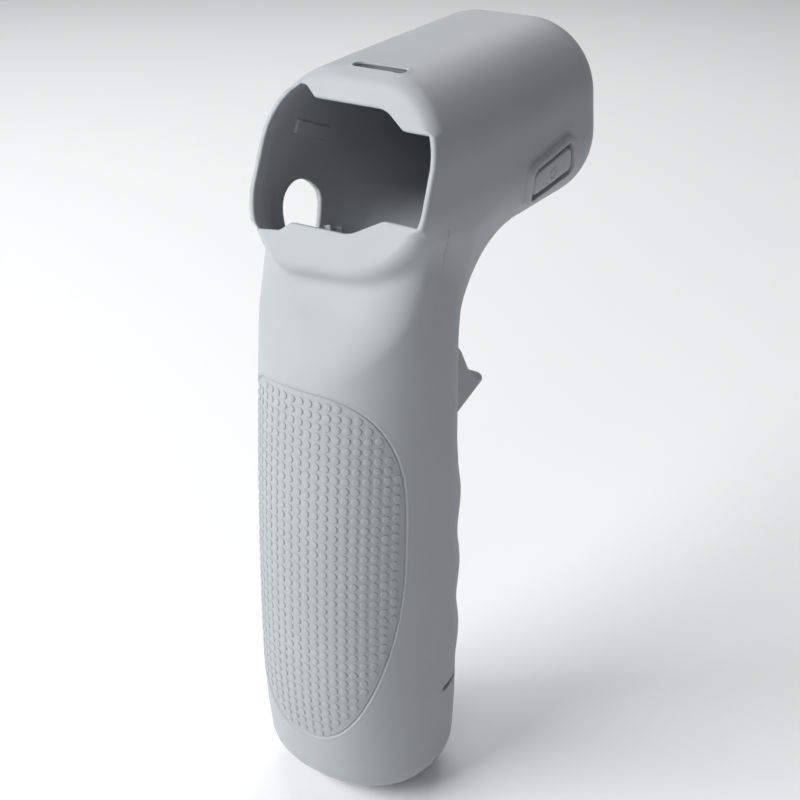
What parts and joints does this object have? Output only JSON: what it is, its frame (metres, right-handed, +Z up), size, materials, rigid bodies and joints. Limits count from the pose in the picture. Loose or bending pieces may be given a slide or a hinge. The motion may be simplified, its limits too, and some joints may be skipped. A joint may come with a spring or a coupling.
{
  "type": "motion controller sleeve",
  "caption": "Soft silicone sleeve for a pistol-grip motion controller, with a face window, side power key, dial port, trigger boot and dotted palm panel.",
  "frame": {"origin": "bottom centre of the bounding box, on the flat of the base", "axes": "+Z up the handle, +Y forward along the barrel, +X to the right, the power key's side"},
  "size_m": [0.0456, 0.0777, 0.1526],
  "materials": {
    "silicone": "matte silicone",
    "grip_silicone": "matte silicone with raised dots"
  },
  "bodies": {
    "sleeve": {"head_sleeve": "silicone", "face_lip_upper": "silicone", "face_lip_lower": "silicone", "handle_sleeve": "silicone", "grip_panel": "grip_silicone", "base_cup": "silicone", "charge_port_lip": "silicone", "light_slot_rim": "silicone", "power_key_frame": "silicone", "power_key_web": "silicone", "locating_pad": "silicone", "locating_rib_rear": "silicone", "locating_rib_front": "silicone"},
    "power_key": {"power_key": "silicone", "power_key_plunger": "silicone"},
    "trigger": {"trigger_boot": "silicone"}
  },
  "joints": [
    {"name": "power_key_press", "type": "slide", "parent": "sleeve", "child": "power_key", "axis": [-0.9976, 0, -0.0698], "range_m": [0, 0.0007], "stiffness_N_per_m": 2000},
    {"name": "trigger_pull", "type": "hinge", "parent": "sleeve", "child": "trigger", "pos_m": [-0.00086, -0.0024, 0.0934], "axis": [-1, 0, 0], "range_deg": [0, 10], "stiffness_Nm_per_rad": 0.6}
  ]
}
